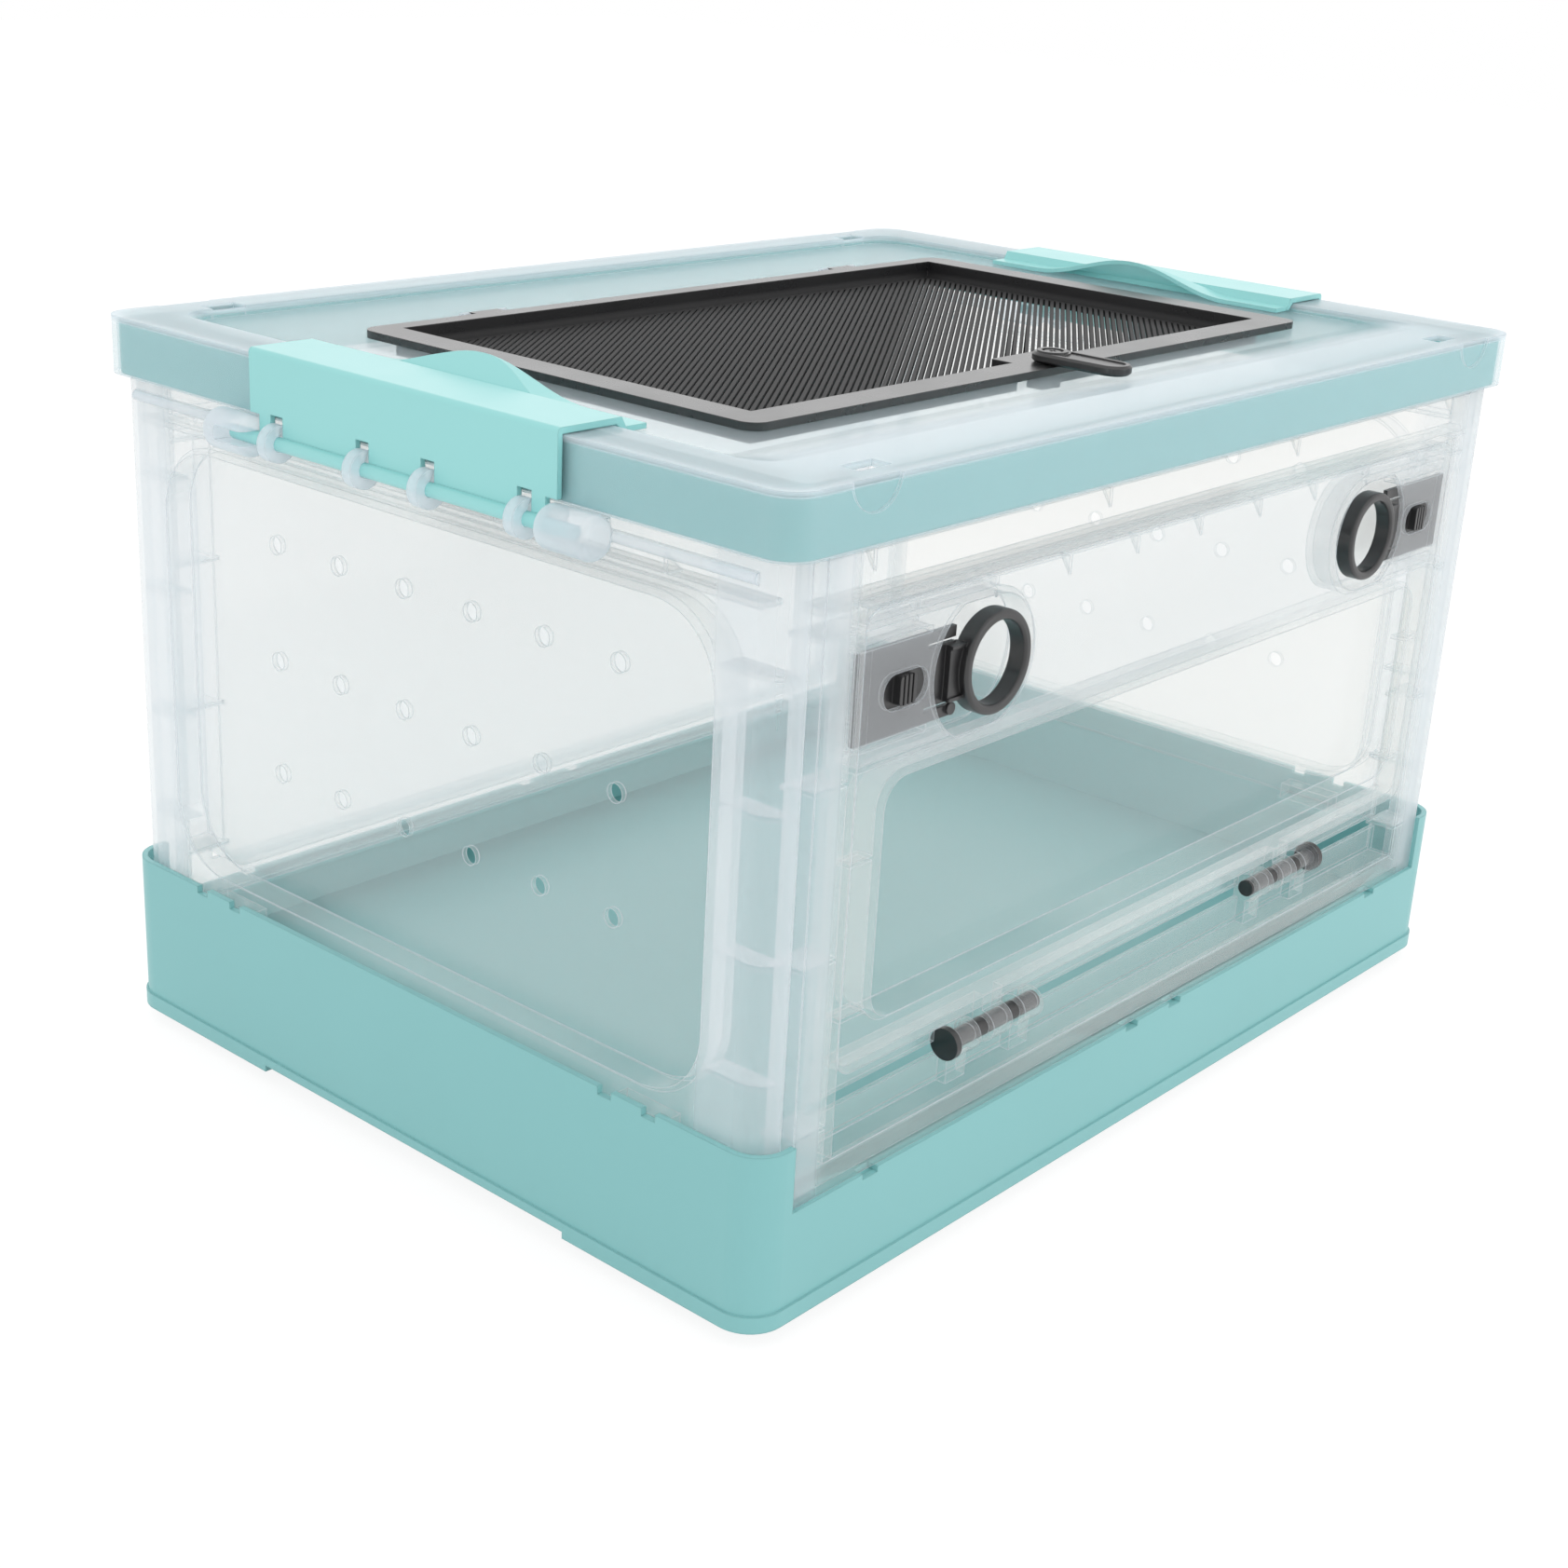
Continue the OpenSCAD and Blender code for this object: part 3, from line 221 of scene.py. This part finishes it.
def coloured_plastic(name, colour, roughness, spread, grain, radius, glossy=0.35,
                     dull_to=None):
    """A moulded plastic: colour that drifts by spread, satin gloss and a fine grain.

    grain is the grain's scale and strength, and radius the eased edge's. dull_to is a
    height in metres; below it the roughness rises to DULL.
    """
    mat = bpy.data.materials.new(name)
    add, join = node_setter(mat)
    out = add("OutputMaterial")
    body = add("BsdfPrincipled", {"Specular IOR Level": glossy})
    coords = add("TexCoord")
    tone = drift(add, join, coords, TONE_SCALE, 1 - spread, 1 + spread)
    tint = add("HueSaturation", {"Color": (*colour, 1)})
    rough = drift(add, join, coords, ROUGH_SCALE,
                  roughness - ROUGH_SPREAD, roughness + ROUGH_SPREAD)
    bump = eased_grain(add, join, coords, radius, *grain, GRAIN_DEPTH)[1]
    join(tone, "Result", tint, "Value")
    join(tint, "Color", body, "Base Color")
    if dull_to:
        split = add("SeparateXYZ")
        level = add("MapRange", {"From Min": dull_to, "From Max": dull_to + DULL_FADE,
                                 "To Min": DULL})
        join(coords, "Object", split, "Vector")
        join(split, "Z", level, "Value")
        join(rough, "Result", level, "To Max")
        rough = level
    join(rough, "Result", body, "Roughness")
    join(bump, "Normal", body, "Normal")
    join(body, "BSDF", out, "Surface")
    return mat


BLACK = (0.013, 0.013, 0.014)

mint = coloured_plastic("mint_plastic", (0.247, 0.537, 0.542), 0.36, 0.03, (900, 0.06),
                        0.0009)
mint_ring = coloured_plastic("mint_ring", (0.275, 0.545, 0.55), 0.36, 0.03, (900, 0.03),
                             0.0009)
light_mint = coloured_plastic("light_mint_plastic", (0.318, 0.684, 0.675), 0.3, 0.02,
                              (900, 0.08), 0.0006)
black = coloured_plastic("black_plastic", BLACK, 0.32, 0.12, (1200, 0.08), 0.0006, 0.8)
black_hatch = coloured_plastic("black_hatch", BLACK, 0.28, 0.12, (1200, 0.08), 0.0006, 0.9,
                               SLATS_TOP)
coloured = (mint, mint_ring, light_mint, black, black_hatch)
print("coloured plastics:", [mat.name for mat in coloured])

# %% [markdown]
# The rollers turn on plain drawn wire. It is a metal with a roughness that drifts finely, as
# drawing leaves it.

# %% Steel
STEEL_GREY = (0.62, 0.62, 0.64, 1)
DRAWN_SCALE = 400
DRAWN_ROUGH = (0.22, 0.38)

steel = bpy.data.materials.new("steel")
add, join = node_setter(steel)
steel_out = add("OutputMaterial")
steel_body = add("BsdfPrincipled", {"Base Color": STEEL_GREY, "Metallic": 1.0})
steel_coords = add("TexCoord")
steel_rough = drift(add, join, steel_coords, DRAWN_SCALE, *DRAWN_ROUGH)
join(steel_rough, "Result", steel_body, "Roughness")
join(steel_body, "BSDF", steel_out, "Surface")
print("metal:", steel.name)

# %% [markdown]
# The clear walls are nearly water-clear face on, and turn milky where one looks along them
# and where the moulding is thick. The material lets most rays straight through and mixes in a
# white body that is part satin surface and part Translucent shader, because milky plastic is
# lit from behind as much as from in front. The share of that body grows
# - at grazing angles, by Layer Weight,
# - along every edge, where the Bevel node's normal parts from the surface's own; this white
#   is a painted highlight, standing in for the bright lines light makes at a clear edge,
# - in named thick zones: the posts, the rod bosses, the door's top and the lid's rim.
# Light on its way to a lamp passes almost freely, because what milky plastic stops it mostly
# scatters on. A zone is a place on the piece and holds from every side.

# %% Clear plastic
THROUGH = (1.0, 0.994, 0.984)
SHADE_THROUGH = (0.985, 0.985, 0.985, 1)
MILK_FRONT = (0.88, 0.94, 1.0, 1)
MILK_BEHIND = (0.92, 0.96, 1.0, 1)
BEHIND_SHARE = 0.55
SKIN_ROUGH = 0.3
EASED_EDGE = 0.001
WAVES = (60, 0.03, 0.001)
# The edge values set how milky white an edge turns: a painted highlight along each edge.
EDGE_FROM, EDGE_TO, EDGE_HIGHLIGHT = 0.97, 0.8, 0.85
GRAZE_BLEND = 0.25
GLOSS_ROUGH = 0.12
GLOSS_FACE_ON = 0.03
GLOSS_BLEND = 0.5
GLOSS_POWER = 5


def clear_plastic(name, veil, graze, glaze, thick=(), tint=THROUGH):
    """Near-clear polypropylene: veil is its milk face on, graze its added milk side on.

    glaze is how much it mirrors side on, and tint the colour of what shows through. thick
    lists zones (axis, start, full, amount): past start, in metres from the middle either way
    along the axis, the milk grows and has grown by amount at full.
    """
    mat = bpy.data.materials.new(name)
    add, join = node_setter(mat)
    out = add("OutputMaterial")
    coords = add("TexCoord")
    eased, bump = eased_grain(add, join, coords, EASED_EDGE, *WAVES)

    through = add("BsdfTransparent", {"Color": (*tint, 1)})
    skin = add("BsdfPrincipled", {"Base Color": MILK_FRONT, "Roughness": SKIN_ROUGH})
    behind = add("BsdfTranslucent", {"Color": MILK_BEHIND})
    milk = add("MixShader", {"Fac": BEHIND_SHARE})
    join(bump, "Normal", skin, "Normal")
    join(skin, 0, milk, 1)
    join(behind, 0, milk, 2)

    # Along each edge white milk is mixed in, a painted highlight.
    own = add("NewGeometry")
    parting = add("VectorMath", operation="DOT_PRODUCT")
    edge = add("MapRange", {"From Min": EDGE_FROM, "From Max": EDGE_TO, "To Max": EDGE_HIGHLIGHT})
    join(own, "Normal", parting, 0)
    join(eased, "Normal", parting, 1)
    join(parting, "Value", edge, "Value")

    facing = add("LayerWeight", {"Blend": GRAZE_BLEND})
    grown = add("Math", {1: graze, 2: veil}, operation="MULTIPLY_ADD")
    place = add("SeparateXYZ")
    join(facing, "Facing", grown, 0)
    join(coords, "Object", place, "Vector")
    for axis, start, full, amount in thick:
        from_middle = add("Math", operation="ABSOLUTE")
        zone = add("MapRange", {"From Min": start, "From Max": full, "To Max": amount})
        more = add("Math", operation="ADD")
        join(place, axis, from_middle, 0)
        join(from_middle, 0, zone, "Value")
        join(grown, 0, more, 0)
        join(zone, "Result", more, 1)
        grown = more
    total = add("Math", operation="ADD", use_clamp=True)
    join(grown, 0, total, 0)
    join(edge, "Result", total, 1)

    milky = add("MixShader")
    join(total, 0, milky, "Fac")
    join(through, 0, milky, 1)
    join(milk, 0, milky, 2)

    gloss = add("BsdfGlossy", {"Color": WHITE, "Roughness": GLOSS_ROUGH})
    square_on = add("LayerWeight", {"Blend": GLOSS_BLEND})
    falloff = add("Math", {1: GLOSS_POWER}, operation="POWER")
    mirror = add("Math", {1: glaze, 2: GLOSS_FACE_ON}, operation="MULTIPLY_ADD")
    shine = add("MixShader")
    join(bump, "Normal", gloss, "Normal")
    join(square_on, "Facing", falloff, 0)
    join(falloff, 0, mirror, 0)
    join(mirror, 0, shine, "Fac")
    join(milky, 0, shine, 1)
    join(gloss, 0, shine, 2)

    ray = add("LightPath")
    pass_light = add("BsdfTransparent", {"Color": SHADE_THROUGH})
    lamps = add("MixShader")
    join(ray, "Is Shadow Ray", lamps, "Fac")
    join(shine, 0, lamps, 1)
    join(pass_light, 0, lamps, 2)
    join(lamps, 0, out, "Surface")
    return mat


# %% [markdown]
# Each clear moulding has its own milk. The end walls and the lid are the milkiest, the front
# wall the clearest, and the lid dims what shows through it a little.

# %% Clear pieces
POSTS = ("Y", 0.150, 0.157, 0.16)
ROD_BOSSES = ("X", 0.2552, 0.2565, 0.5)
DOOR_SIDES = ("X", 0.219, 0.227, 0.2)
DOOR_TOP = ("Z", 0.205, 0.218, 0.10)
LID_RIM = ("Z", 0.3203, 0.3222, 0.55)
LID_TINT = (0.95, 0.975, 0.975)

clear_end = clear_plastic("clear_end_wall", 0.10, 0.2, 0.5, [POSTS, ROD_BOSSES])
clear_front = clear_plastic("clear_front_wall", 0.06, 0.2, 0.5, [DOOR_SIDES])
clear_door = clear_plastic("clear_door", 0.075, 0.2, 0.5, [DOOR_TOP])
clear_lid = clear_plastic("clear_lid", 0.12, 0.3, 0.15, [LID_RIM], LID_TINT)
print("clear plastics:", [mat.name for mat in (clear_end, clear_front, clear_door, clear_lid)])

# %% [markdown]
# Every solid now gets its plastic in its material slot. The back wall shares the end walls'
# plastic. What the table doesn't name is steel if it is an axle, and black if it isn't: the
# bolts, pins, rollers and the parts of the latch.

# %% Give each solid its plastic
FINISH = {
    "base_tub": mint, "top_ring": mint_ring,
    "clip_left": light_mint, "clip_right": light_mint,
    "front_wall": clear_front, "back_wall": clear_end, "left_end_wall": clear_end,
    "right_end_wall": clear_end, "front_door": clear_door, "lid": clear_lid,
    "hatch": black_hatch,
}
for name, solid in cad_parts.items():
    rest = steel if name.startswith("axle") else black
    solid.data.materials.clear()
    solid.data.materials.append(FINISH.get(name, rest))
print("finished", len(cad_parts), "solids")

# %% [markdown]
# Many clear layers lie behind each other, so a ray needs leave to pass through all of them.

# %% Let rays through every layer
CLEAR_LAYERS = 48

bpy.context.scene.cycles.transparent_max_bounces = CLEAR_LAYERS
print("a ray may cross", CLEAR_LAYERS, "clear surfaces")
